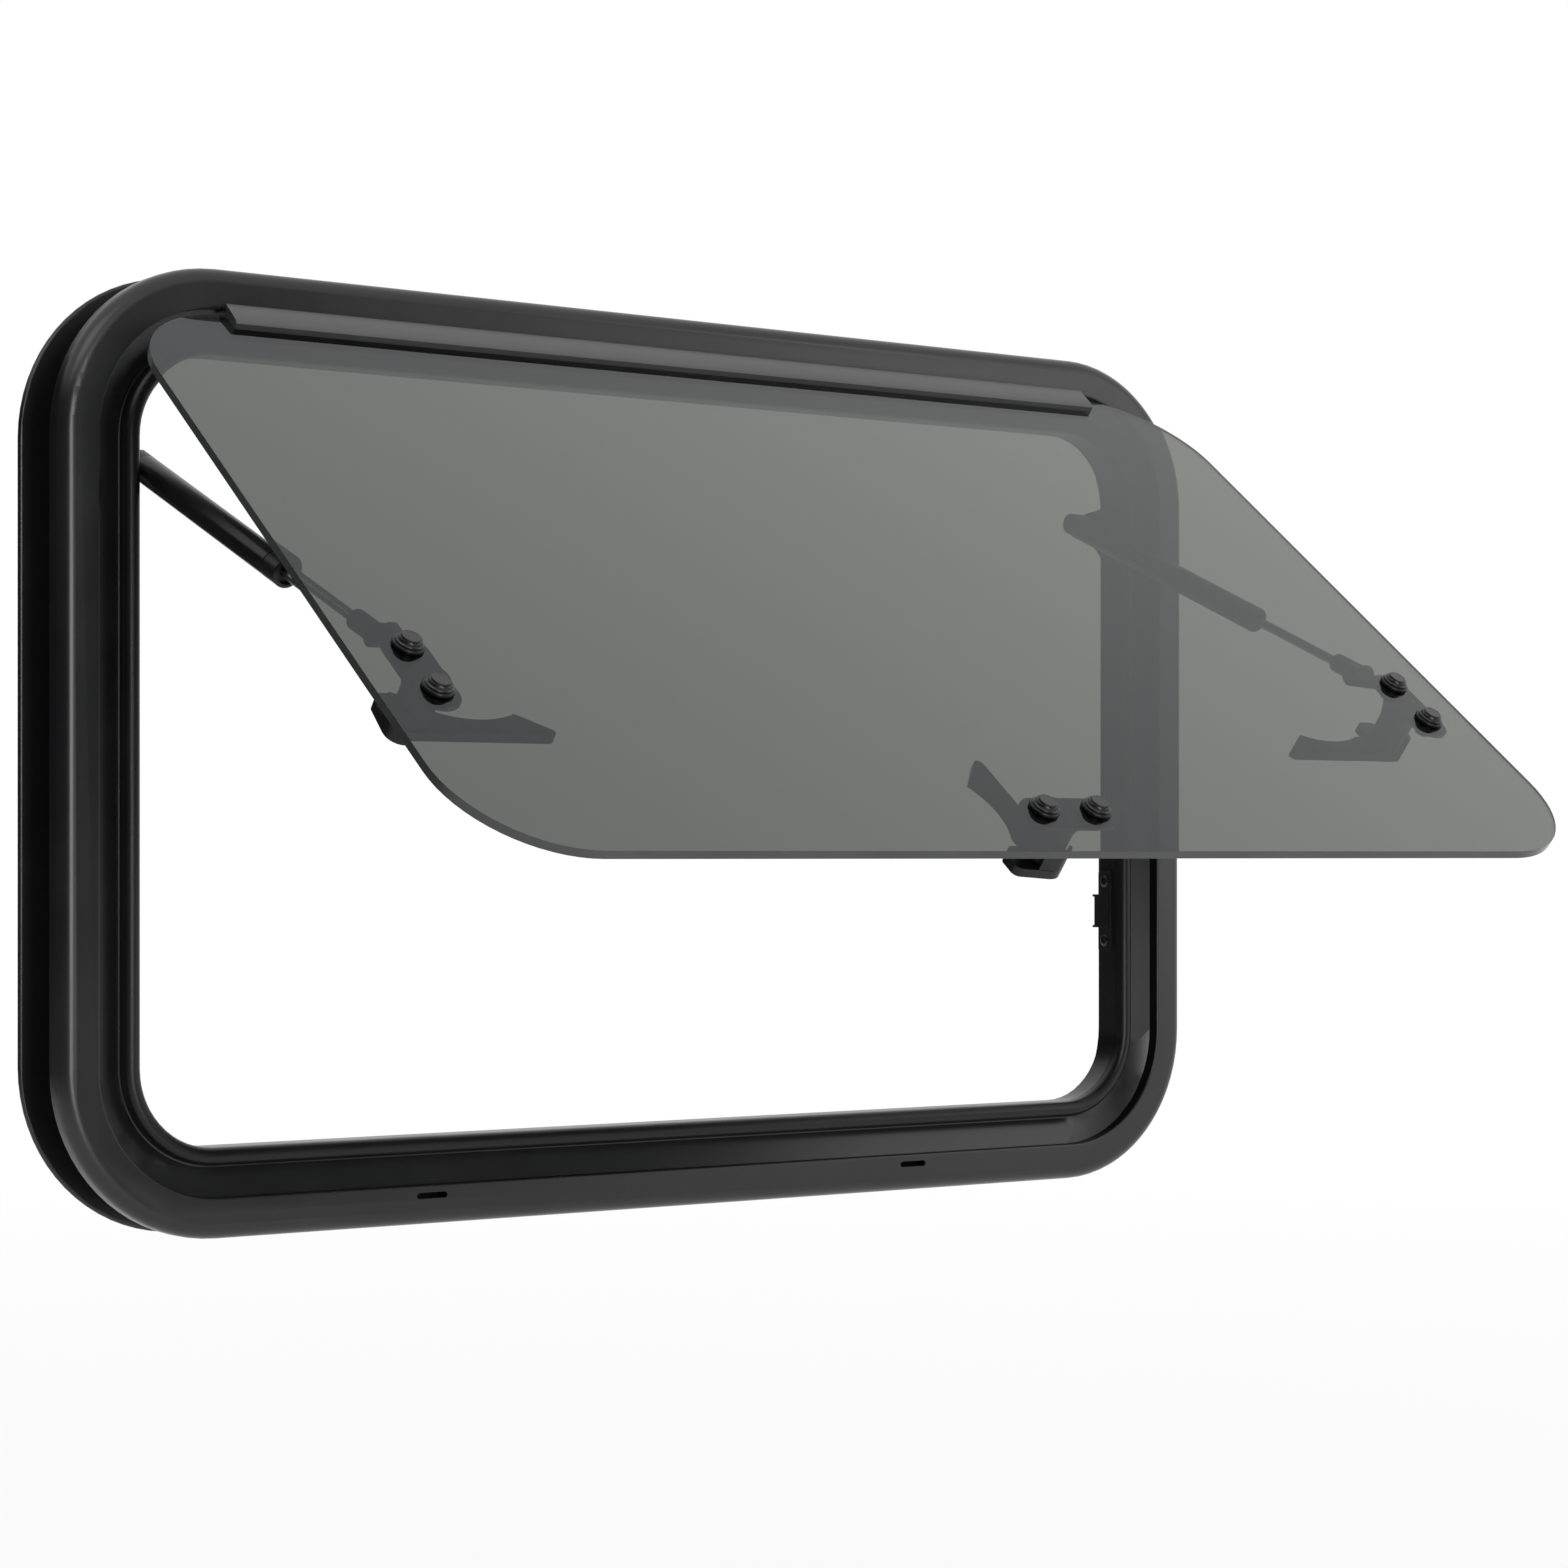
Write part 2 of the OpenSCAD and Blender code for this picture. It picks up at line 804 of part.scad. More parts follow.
module left_bracket() { color(black) at_left_latch() side_bracket(); }
module right_bracket() { color(black) on_right() at_left_latch() side_bracket(); }
module bottom_bracket() { color(black) at_bottom_latch() bracket_plate(); }
module left_washers() { color(rubber) at_left_latch() washer_pair(); }
module right_washers() { color(rubber) on_right() at_left_latch() washer_pair(); }
module bottom_washers() { color(rubber) at_bottom_latch() washer_pair(); }
module left_bolts() { color(steel) at_left_latch() bolt_pair(); }
module right_bolts() { color(steel) on_right() at_left_latch() bolt_pair(); }
module bottom_bolts() { color(steel) at_bottom_latch() bolt_pair(); }
module left_housing() { color(plastic) at_left_latch() housing(); }
module right_housing() { color(plastic) on_right() at_left_latch() housing(); }
module bottom_housing() { color(plastic) at_bottom_latch() housing(); }
module left_lever() { color(plastic) at_left_latch() lever(); }
module right_lever() { color(plastic) on_right() at_left_latch() lever(); }
module bottom_lever() { color(plastic) at_bottom_latch() lever(); }
module left_lever_cap() { color(plastic) at_left_latch() lever_cap(); }
module right_lever_cap() { color(plastic) on_right() at_left_latch() lever_cap(); }
module bottom_lever_cap() { color(plastic) at_bottom_latch() lever_cap(); }
module left_tube() { color(black) at_left_strut() tube(); }
module right_tube() { color(black) on_right() at_left_strut() tube(); }
module left_gland() { color(plastic) at_left_strut() gland(); }
module right_gland() { color(plastic) on_right() at_left_strut() gland(); }
module left_socket() { color(black) at_left_strut() socket(); }
module right_socket() { color(black) on_right() at_left_strut() socket(); }
module left_rod() { color(steel) at_left_strut() rod(); }
module right_rod() { color(steel) on_right() at_left_strut() rod(); }
module left_rod_end() { color(black) at_left_strut() rod_end(); }
module right_rod_end() { color(black) on_right() at_left_strut() rod_end(); }

outer_frame();
glazing_seal();
clamp_ring();
ring_screws();
hinge_rail();
left_stay_bracket();
right_stay_bracket();
stay_screws();
left_strike();
right_strike();
strike_screws();
glass_pane();
hinge_strip();
left_bracket();
right_bracket();
bottom_bracket();
left_washers();
right_washers();
bottom_washers();
left_bolts();
right_bolts();
bottom_bolts();
left_housing();
right_housing();
bottom_housing();
left_lever();
right_lever();
bottom_lever();
left_lever_cap();
right_lever_cap();
bottom_lever_cap();
left_tube();
right_tube();
left_gland();
right_gland();
left_socket();
right_socket();
left_rod();
right_rod();
left_rod_end();
right_rod_end();
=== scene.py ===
import json
import math

import bmesh
import bpy
from mathutils import Matrix, Vector


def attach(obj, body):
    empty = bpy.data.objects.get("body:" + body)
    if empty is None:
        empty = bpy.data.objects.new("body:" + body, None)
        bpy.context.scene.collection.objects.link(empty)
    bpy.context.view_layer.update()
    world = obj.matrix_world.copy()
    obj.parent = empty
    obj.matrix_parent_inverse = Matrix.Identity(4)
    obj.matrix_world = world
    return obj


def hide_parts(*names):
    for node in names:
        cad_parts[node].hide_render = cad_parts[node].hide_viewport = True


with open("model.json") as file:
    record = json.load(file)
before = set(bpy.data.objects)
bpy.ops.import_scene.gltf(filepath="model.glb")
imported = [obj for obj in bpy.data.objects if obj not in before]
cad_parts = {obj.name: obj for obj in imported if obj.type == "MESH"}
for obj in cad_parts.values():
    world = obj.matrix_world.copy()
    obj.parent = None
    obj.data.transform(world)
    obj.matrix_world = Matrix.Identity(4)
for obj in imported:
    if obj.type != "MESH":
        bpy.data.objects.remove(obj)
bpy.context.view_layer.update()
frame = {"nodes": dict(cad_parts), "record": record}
nodes = frame["nodes"]
slotOf = {part["node"]: part["material_slot"] for part in frame["record"]["subparts"]}
bodyOf = {name: body for body, names in frame["record"]["behaviour"]["bodies"].items() for name in names}
print("frame loaded:", len(nodes), "nodes")

mm = 0.001  # shapes are drawn in millimetres and scaled when they are placed
unturned = Matrix.Identity(4)

# Tones are linear, gloss is the roughness from and to, and a grain's height is in metres
coats = {
    "powderCoat": {"dark": (0.006, 0.006, 0.007), "light": (0.009, 0.009, 0.010), "gloss": (0.26, 0.34),
                   "grainScale": 1800, "grainHeight": 0.00003, "shine": 0.5, "metallic": 0.0},
    "sealRubber": {"dark": (0.003, 0.003, 0.003), "light": (0.005, 0.005, 0.005), "gloss": (0.32, 0.42),
                   "grainScale": 900, "grainHeight": 0.00003, "shine": 0.3, "metallic": 0.0},
    "mouldedPlastic": {"dark": (0.007, 0.007, 0.0075), "light": (0.010, 0.010, 0.0105), "gloss": (0.34, 0.44),
                       "grainScale": 1400, "grainHeight": 0.00004, "shine": 0.28, "metallic": 0.0},
    "darkSteel": {"dark": (0.006, 0.006, 0.007), "light": (0.010, 0.010, 0.011), "gloss": (0.26, 0.34),
                  "grainScale": 1200, "grainHeight": 0.00002, "shine": 0.42, "metallic": 0.0},
    "tubeCoat": {"dark": (0.008, 0.008, 0.009), "light": (0.012, 0.012, 0.013), "gloss": (0.22, 0.3),
                 "grainScale": 2000, "grainHeight": 0.00002, "shine": 0.26, "metallic": 0.0},
    "rodSteel": {"dark": (0.2, 0.2, 0.21), "light": (0.28, 0.28, 0.29), "gloss": (0.2, 0.3),
                 "grainScale": 1500, "grainHeight": 0.00002, "shine": 0.5, "metallic": 0.9},
    # A lighter, shinier copy of the black powder coat: painted light, for the light falling on the hinge
    # strip's face
    "stripCoat": {"dark": (0.030, 0.030, 0.031), "light": (0.038, 0.038, 0.040), "gloss": (0.26, 0.34),
                  "grainScale": 1800, "grainHeight": 0.00002, "shine": 0.8, "metallic": 0.0},
    "glassEdge": {"dark": (0.030, 0.034, 0.032), "light": (0.042, 0.047, 0.044), "gloss": (0.12, 0.2),
                  "grainScale": 1500, "grainHeight": 0.00001, "shine": 0.5, "metallic": 0.0},
}
# The grey-green is the glass's own tint; the lighter right tone is painted light, for the stronger reflection
# toward the window's right
tint = {"left": (0.094, 0.102, 0.091), "right": (0.145, 0.156, 0.134), "halfWidth": 0.45, "ior": 1.5,
        "mirrorTint": (0.20, 0.23, 0.30, 1)}


def newMaterial(name):
    material = bpy.data.materials.new(name)
    material.use_nodes = True
    tree = material.node_tree
    return material, tree, tree.nodes["Principled BSDF"]


def addNode(tree, kind, **inputs):
    node = tree.nodes.new(kind)
    for key, value in inputs.items():
        node.inputs[key].default_value = value
    return node


def objectCoordinates(tree):
    return tree.nodes.new("ShaderNodeTexCoord").outputs["Object"]


def twoToneRamp(tree, factor, dark, light, start=0.35, end=0.65):
    ramp = tree.nodes.new("ShaderNodeValToRGB")
    first, last = ramp.color_ramp.elements
    first.position, first.color = start, (*dark, 1)
    last.position, last.color = end, (*light, 1)
    tree.links.new(factor, ramp.inputs["Fac"])
    return ramp.outputs["Color"]


# A slow drift of tone and gloss, with a fine grain on top
def coatMaterial(name, dark, light, gloss, grainScale, grainHeight, shine, metallic):
    material, tree, shader = newMaterial(name)
    links = tree.links
    place = objectCoordinates(tree)
    drift = addNode(tree, "ShaderNodeTexNoise", Scale=14.0, Detail=3.0, Roughness=0.55)
    links.new(place, drift.inputs["Vector"])
    links.new(twoToneRamp(tree, drift.outputs["Fac"], dark, light), shader.inputs["Base Color"])
    rough = addNode(tree, "ShaderNodeMapRange", **{"To Min": gloss[0], "To Max": gloss[1]})
    links.new(drift.outputs["Fac"], rough.inputs["Value"])
    links.new(rough.outputs["Result"], shader.inputs["Roughness"])
    grain = addNode(tree, "ShaderNodeTexNoise", Scale=grainScale, Detail=2.0, Roughness=0.6)
    links.new(place, grain.inputs["Vector"])
    bump = addNode(tree, "ShaderNodeBump", Strength=0.3, Distance=grainHeight)
    links.new(grain.outputs["Fac"], bump.inputs["Height"])
    links.new(bump.outputs["Normal"], shader.inputs["Normal"])
    shader.inputs["Specular IOR Level"].default_value = shine
    shader.inputs["Metallic"].default_value = metallic
    return material


# Grey-green tint, a little lighter toward the window's right side; that lighter right side is painted light,
# for the stronger reflection the pane shows there
def glassMaterial():
    material, tree, shader = newMaterial("tintedGlass")
    links = tree.links
    split = tree.nodes.new("ShaderNodeSeparateXYZ")
    links.new(objectCoordinates(tree), split.inputs["Vector"])
    reach = tint["halfWidth"]
    across = addNode(tree, "ShaderNodeMapRange", **{"From Min": -reach, "From Max": reach})
    links.new(split.outputs["X"], across.inputs["Value"])
    # the ramp paints the brighter reflection toward the right into the tint
    tone = twoToneRamp(tree, across.outputs["Result"], tint["left"], tint["right"], 0.0, 1.0)
    links.new(tone, shader.inputs["Base Color"])
    shader.inputs["Roughness"].default_value = 0.0
    shader.inputs["IOR"].default_value = tint["ior"]
    shader.inputs["Specular Tint"].default_value = tint["mirrorTint"]
    shader.inputs["Transmission Weight"].default_value = 1.0
    return material


coatOf = {name: coatMaterial(name, **settings) for name, settings in coats.items()}
finishes = {
    "black_aluminium": coatOf["powderCoat"], "black_rubber": coatOf["sealRubber"],
    "black_plastic": coatOf["mouldedPlastic"], "tinted_glass": glassMaterial(),
    "dark_steel": coatOf["darkSteel"], "strut_rod": coatOf["rodSteel"], "strut_tube": coatOf["tubeCoat"],
}
print("materials made")

# From a drawing's x, y and depth to a latch's or a frame's own axes
faceOn = Matrix(((1, 0, 0, 0), (0, 0, 1, 0), (0, 1, 0, 0), (0, 0, 0, 1)))
sideOn = Matrix(((0, 0, 1, 0), (1, 0, 0, 0), (0, 1, 0, 0), (0, 0, 0, 1)))
mirrored = Matrix.Diagonal((-1, 1, 1, 1))

# Where the pane turns on its bead, where the latches sit on it, and the line of a strut
opening = {"angle": 52.15, "beadY": -19.0, "beadZ": 516.3, "beadR": 1.8, "beadGap": 0.3}
latch = {"sideX": 358, "sideZ": 163.5, "bottomX": -3, "bottomZ": 48.5, "glassInY": -11.5, "hubShift": 4,
         "boltGap": 37.5}
strut = {"x": 359, "pivotY": -250.33, "pivotZ": 313.99, "riseDeg": 22.86, "length": 299.89, "mouth": 101.9,
         "tubeR": 8.25, "tubeBoreR": 6.55, "endGap": 14, "edge": 0.2}


def moved(x, y, z):
    return Matrix.Translation((x, y, z))


def turnedBy(degrees, axis):
    return Matrix.Rotation(math.radians(degrees), 4, axis)


opened = (moved(0, opening["beadY"], opening["beadZ"]) @ turnedBy(-opening["angle"], "X")
          @ moved(0, -opening["beadY"], -opening["beadZ"]))
outward = opened.to_3x3() @ Vector((0, -1, 0))
leftLatch = opened @ moved(-latch["sideX"], latch["glassInY"], latch["sideZ"])
bottomLatch = opened @ moved(latch["bottomX"], latch["glassInY"], latch["bottomZ"]) @ turnedBy(-90, "Y")
latchPlaces = {"left": leftLatch, "right": mirrored @ leftLatch, "bottom": bottomLatch}
leftStrut = (moved(-strut["x"], strut["pivotY"], strut["pivotZ"]) @ turnedBy(90, "Z")
             @ turnedBy(-strut["riseDeg"], "Y"))
sidePlaces = {"left": unturned, "right": mirrored}

# How finely curves are drawn, how near points are merged and how flat faces are joined
drawing = {"arcSteps": 16, "cornerSteps": 6, "turnSteps": 48, "holeSteps": 23, "seam": 0.0005,
           "plateFlatDeg": 0.5}
softening = {"smoothDeg": 38, "edgeDeg": 32, "segments": 3, "seam": 0.004, "flatDeg": 0.6}


def arc(x, y, radius, fromDeg, toDeg, steps=drawing["arcSteps"]):
    angles = [math.radians(fromDeg + (toDeg - fromDeg) * step / steps) for step in range(steps + 1)]
    return [(x + radius * math.cos(angle), y + radius * math.sin(angle)) for angle in angles]


def holeAt(x, y, radius):
    steps = drawing["holeSteps"]
    return arc(x, y, radius, 0, 360 * steps / (steps + 1), steps)


# Each corner is x, y and, where it is rounded, its radius
def rounded(corners, steps=drawing["cornerSteps"]):
    points = []
    for index, corner in enumerate(corners):
        here = Vector(corner[:2])
        if len(corner) < 3:
            points.append(tuple(here))
            continue
        before = (Vector(corners[index - 1][:2]) - here).normalized()
        after = (Vector(corners[(index + 1) % len(corners)][:2]) - here).normalized()
        half = before.angle(after) / 2
        centre = here + (before + after).normalized() * corner[2] / math.sin(half)
        start = here + before * corner[2] / math.tan(half) - centre
        end = here + after * corner[2] / math.tan(half) - centre
        first = math.atan2(start.y, start.x)
        sweep = (math.atan2(end.y, end.x) - first + math.pi) % (2 * math.pi) - math.pi
        points += arc(centre.x, centre.y, corner[2], math.degrees(first), math.degrees(first + sweep), steps)
    return points


# A plate with the given outline, and holes where further outlines are given
def plate(outlines, low, high):
    work = bmesh.new()
    for outline in outlines:
        ring = [work.verts.new((x, y, low)) for x, y in outline]
        for first, second in zip(ring, ring[1:] + ring[:1]):
            work.edges.new((first, second))
    filled = bmesh.ops.triangle_fill(work, use_beauty=True, edges=work.edges)["geom"]
    sheet = [item for item in filled if isinstance(item, bmesh.types.BMFace)]
    grown = bmesh.ops.extrude_face_region(work, geom=sheet)["geom"]
    top = [item for item in grown if isinstance(item, bmesh.types.BMVert)]
    bmesh.ops.translate(work, verts=top, vec=(0, 0, high - low))
    if len(outlines) == 1:
        flat = math.radians(drawing["plateFlatDeg"])
        bmesh.ops.dissolve_limit(work, angle_limit=flat, verts=work.verts, edges=work.edges)
    return work


# A turned shape: pairs of height and radius, spun about the height
def spun(profile, steps=drawing["turnSteps"]):
    work = bmesh.new()
    verts = [work.verts.new((radius, 0, height)) for height, radius in profile]
    edges = [work.edges.new(pair) for pair in zip(verts, verts[1:])]
    bmesh.ops.spin(work, geom=verts + edges, axis=(0, 0, 1), cent=(0, 0, 0), angle=math.tau, steps=steps)
    bmesh.ops.remove_doubles(work, verts=work.verts, dist=drawing["seam"])
    return work


# Joins drawn shapes into one mesh, each with its own place
def assembled(name, shapes):
    whole = bmesh.new()
    for shape, place in shapes:
        bmesh.ops.transform(shape, matrix=Matrix.Scale(mm, 4) @ place, verts=shape.verts)
        bmesh.ops.recalc_face_normals(shape, faces=shape.faces)
        single = bpy.data.meshes.new(name + "Single")
        shape.to_mesh(single)
        shape.free()
        whole.from_mesh(single)
        bpy.data.meshes.remove(single)
    mesh = bpy.data.meshes.new(name)
    whole.to_mesh(mesh)
    whole.free()
    return mesh


def linked(name, data):
    item = bpy.data.objects.new(name, data)
    bpy.context.scene.collection.objects.link(item)
    return item


def finishedMesh(piece):
    return bpy.data.meshes.new_from_object(piece.evaluated_get(bpy.context.evaluated_depsgraph_get()))


def smoothed(mesh):
    mesh.shade_smooth()
    mesh.set_sharp_from_angle(angle=math.radians(softening["smoothDeg"]))


# Rounds the edges and keeps the flat faces flat in the shading
def softMesh(mesh, width):
    smoothed(mesh)
    piece = linked(mesh.name, mesh)
    bevel = piece.modifiers.new("edges", "BEVEL")
    bevel.width = width * mm
    bevel.segments = softening["segments"]
    bevel.limit_method = "ANGLE"
    bevel.angle_limit = math.radians(softening["edgeDeg"])
    bevel.miter_outer = "MITER_ARC"
    bevel.harden_normals = True
    shape = finishedMesh(piece)
    bpy.data.objects.remove(piece)
    return shape


def fitted(name, shape, finish=None):
    shape.materials.clear()
    shape.materials.append(finish or finishes[slotOf[name]])
    piece = linked(name + "_fine", shape)
    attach(piece, bodyOf[name])
    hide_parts(name)
    return piece


# Nodes whose solid has the right form: a copy gets rounded edges of this width
softEdges = {
    "outer_frame": 0.35, "clamp_ring": 0.4, "hinge_rail": 0.25,
    "left_stay_bracket": 0.5, "right_stay_bracket": 0.5,
    "left_socket": 0.7, "right_socket": 0.7,
    "left_rod_end": 1.0, "right_rod_end": 1.0, "glass_pane": 0.6, "glazing_seal": 0.4,
    "left_rod": 0.3, "right_rod": 0.3,
}
groundEdge = {"largestDot": 0.6, "slotIndex": 1}


def softened(name, width):
    mesh = nodes[name].data.copy()
    work = bmesh.new()
    work.from_mesh(mesh)
    bmesh.ops.remove_doubles(work, verts=work.verts, dist=softening["seam"] * mm)
    flat = math.radians(softening["flatDeg"])
    bmesh.ops.dissolve_limit(work, angle_limit=flat, verts=work.verts, edges=work.edges)
    work.to_mesh(mesh)
    work.free()
    return fitted(name, softMesh(mesh, width))


softPieces = {name: softened(name, width) for name, width in softEdges.items()}

# The ground edge of the pane has its own finish
pane = softPieces["glass_pane"].data
pane.materials.append(coatOf["glassEdge"])
for face in pane.polygons:
    if abs(face.normal.dot(outward)) < groundEdge["largestDot"]:
        face.material_index = groundEdge["slotIndex"]
print("edges softened")

# The strip hooks over the rail's bead, and its tail is thinner at the toe
strip = {"length": 650, "hookWall": 1.3, "lipDeg": 32, "wallDeg": 42.6, "bottom": 498.5, "thickness": 5.0,
         "faceY": -16.5, "chamfer": 3, "toeShare": 0.75, "toeR": 0.4, "lipSteps": 4, "boreSteps": 24,
         "edge": 0.2}


def hingeStrip():
    bead = (opening["beadY"], opening["beadZ"])
    inner = opening["beadR"] + opening["beadGap"]
    outer = inner + strip["hookWall"]
    lip = opening["angle"] + strip["lipDeg"]
    bottom, face, thickness = strip["bottom"], strip["faceY"], strip["thickness"]
    tail = [(face - thickness, bottom + strip["chamfer"]),
            (face - thickness * strip["toeShare"], bottom, strip["toeR"]), (face, bottom)]
    outline = (arc(*bead, outer, lip, 180) + rounded(tail)
               + arc(*bead, outer, -strip["wallDeg"], -strip["lipDeg"], strip["lipSteps"])
               + arc(*bead, inner, -strip["lipDeg"], lip - 360, strip["boreSteps"]))
    half = strip["length"] / 2
    return assembled("hingeStrip", [(plate([outline], -half, half), opened @ sideOn)])


# The strip wears the lighter copy of the powder coat, as painted light on its face
fitted("hinge_strip", softMesh(hingeStrip(), strip["edge"]), coatOf["stripCoat"])

# A bolted plate with, on the side latches, an ear that carries the strut's pivot
bracket = {"width": 27, "thickness": 2.5, "holeR": 3.1, "endSteps": 24, "edge": 0.6}
ear = {"x": 5.5, "thickness": 3.5, "radius": 7, "fromDeg": -36.9, "steps": 20, "pivotY": 10.3, "pivotZ": 46,
       "foot": ((2.4, 18.75), (2.4, 28.3)), "rivet": ((0, 0), (0, 4.2), (0.6, 4.2), (1.2, 3.4), (1.2, 0))}


def latchBracket(side):
    half, gap = bracket["width"] / 2, latch["boltGap"] / 2
    outline = (arc(0, gap, half, 0, 180, bracket["endSteps"])
               + arc(0, -gap, half, 180, 360, bracket["endSteps"]))
    holes = [holeAt(0, end * gap, bracket["holeR"]) for end in (-1, 1)]
    shapes = [(plate([outline] + holes, 0, bracket["thickness"]), latchPlaces[side] @ faceOn)]
    if side != "bottom":
        pivot = (ear["pivotY"], ear["pivotZ"])
        crown = arc(*pivot, ear["radius"], ear["fromDeg"], 180, ear["steps"])
        near, far = ear["x"], ear["x"] + ear["thickness"]
        shapes.append((plate([list(ear["foot"]) + crown[::-1]], near, far), latchPlaces[side] @ sideOn))
        shapes.append((spun(ear["rivet"]), latchPlaces[side] @ moved(far, *pivot) @ sideOn))
    return assembled("latchBracket", shapes)


# A post with a wide foot and a bore for the lever's spindle
housing = {"diameter": 21.2, "top": 30, "footR": 13.5, "waist": 12.5, "boreR": 4, "boreFloor": 18,
           "stepR": 0.4, "stepH": 0.6, "edge": 0.6}


def latchHousing(side):
    radius, top, bore = housing["diameter"] / 2, housing["top"], housing["boreR"]
    neck, ledge = radius - housing["stepR"], top - housing["stepH"]
    floor, foot = housing["boreFloor"], bracket["thickness"]
    post = spun([(floor, 0), (floor, bore), (top, bore), (top, neck), (ledge, neck), (ledge, radius),
                 (housing["waist"], radius), (foot, housing["footR"]), (foot, 0)])
    return assembled("latchHousing", [(post, latchPlaces[side] @ moved(latch["hubShift"], 0, 0) @ faceOn)])


# The lever lies flat at its depth, over its spindle, with a skirt beside the housing
lever = {"length": 85, "low": 11.5, "high": 7.5, "depth": 30.5, "thickness": 5.5, "edge": 0.9,
         "heel": 13.3, "heelR": 9, "toeBack": 0.8, "toeR": 3.5, "tipRise": 4.5, "tipR": 0.8,
         "knuckleBack": 18, "knuckleR": 1.2, "knuckleFall": 1,
         "hollow": 6, "hollowFrom": 0.93, "hollowTo": 0.97, "hollowSteps": 20,
         "noseTop": 23, "noseW": 16, "noseSet": 2.8, "noseR": 4.5, "noseFootR": 1.5}
spindle = {"floor": 19, "radius": 3.9, "overlap": 0.1}
skirt = {"x": -4.3, "y": -2.5, "outerR": 9, "innerR": 7.1, "toDeg": 245, "steps": 8, "outerTop": (-12.0, 9),
         "innerTop": (-10.1, 9), "from": 20, "overlap": 1}


# A straight lower edge, a slanted tip, a finger hollow, a round heel and the nose
def leverOutline():
    length, heel, low, high = lever["length"], lever["heel"], lever["low"], lever["high"]
    knuckle = length - lever["knuckleBack"]
    hollowX = length / 2
    reach = knuckle - hollowX
    hollowR = (reach * reach + lever["hollow"] ** 2) / (2 * lever["hollow"])
    hollowY = high - lever["hollow"] + hollowR
    swing = math.degrees(math.asin(reach / hollowR))
    noseOut = heel - lever["noseSet"]
    noseIn = lever["noseW"] - noseOut
    top, noseR = lever["noseTop"], lever["noseR"]
    start = rounded([(-heel, 0), (-heel, -low, lever["heelR"]),
                     (length - lever["toeBack"], -low, lever["toeR"]),
                     (length, lever["tipRise"] - low, lever["tipR"]), (knuckle, high, lever["knuckleR"]),
                     (hollowX, high - lever["knuckleFall"])])[1:-1]
    hollow = arc(hollowX, hollowY, hollowR, 270 + swing * lever["hollowFrom"],
                 270 - swing * lever["hollowTo"], lever["hollowSteps"])
    nose = rounded([(hollowX, high), (noseIn, high, lever["noseFootR"]), (noseIn, top, noseR),
                    (-noseOut, top, noseR), (-heel, 0)])[1:]
    return start + hollow + nose


def latchLever(side):
    hub = latchPlaces[side] @ moved(latch["hubShift"], 0, 0) @ faceOn
    blade = plate([leverOutline()], lever["depth"], lever["depth"] + lever["thickness"])
    top = lever["depth"] + spindle["overlap"]
    floor, radius = spindle["floor"], spindle["radius"]
    pin = spun([(floor, 0), (floor, radius), (top, radius), (top, 0)])
    centre = (skirt["x"], skirt["y"])
    wall = plate([[skirt["outerTop"]] + arc(*centre, skirt["outerR"], 180, skirt["toDeg"], skirt["steps"])
                  + arc(*centre, skirt["innerR"], skirt["toDeg"], 180, skirt["steps"]) + [skirt["innerTop"]]],
                 skirt["from"], lever["depth"] + skirt["overlap"])
    return assembled("latchLever", [(shape, hub) for shape in (blade, pin, wall)])


cap = {"radius": 8, "height": 2, "chamfer": 0.8, "edge": 0.25}


def leverCap(side):
    seat = lever["depth"] + lever["thickness"]
    shoulder = seat + cap["height"] - cap["chamfer"]
    button = spun([(seat, 0), (seat, cap["radius"]), (shoulder, cap["radius"]),
                   (seat + cap["height"], cap["radius"] - cap["chamfer"]), (seat + cap["height"], 0)])
    return assembled("leverCap", [(button, latchPlaces[side] @ moved(latch["hubShift"], 0, 0) @ faceOn)])


for side in latchPlaces:
    fitted(side + "_bracket", softMesh(latchBracket(side), bracket["edge"]))
    fitted(side + "_housing", softMesh(latchHousing(side), housing["edge"]))
    fitted(side + "_lever", softMesh(latchLever(side), lever["edge"]))
    fitted(side + "_lever_cap", softMesh(leverCap(side), cap["edge"]))
print("latches made")

# A screwed plate with a lug that ends in two horns
strike = {"wallX": 372.5, "thickness": 2, "frontY": -1, "backY": 12, "height": 56, "cornerR": 2, "edge": 0.4,
          "screwY": 5.5, "screwUp": 20.5, "holeR": 2.1, "lugT": 2.5, "lugFront": 1.5, "lugBack": 15.7,
          "lugHalf": 9.9, "hornEnd": 17.5, "hornHalf": 11.5}


def strikePlate(side):
    half, radius = strike["height"] / 2, strike["cornerR"]
    wall, front, back = -strike["wallX"], strike["frontY"], strike["backY"]
    place = sidePlaces[side] @ moved(0, 0, latch["sideZ"]) @ sideOn
    body = rounded([(front, -half, radius), (back, -half, radius),
                    (back, half, radius), (front, half, radius)])
    holes = [holeAt(strike["screwY"], end * strike["screwUp"], strike["holeR"]) for end in (-1, 1)]
    root, tip, end = strike["lugFront"], strike["lugBack"], strike["hornEnd"]
    inner, outer = strike["lugHalf"], strike["hornHalf"]
    lug = [(root, -outer), (end, -outer), (end, -inner), (tip, -inner),
           (tip, inner), (end, inner), (end, outer), (root, outer)]
    return assembled("strikePlate", [(plate([body] + holes, wall, wall + strike["thickness"]), place),
                                     (plate([lug], wall, wall + strike["lugT"]), place)])


# The sleeve at the tube's mouth has a fine shadow line where it meets the tube
sleeve = {"length": 16, "boreR": 5.75, "boreL": 3, "chamfer": 1.2, "groove": 0.6, "plugR": 6.5, "plugL": 24,
          "rodR": 3.05, "edge": 0.2}


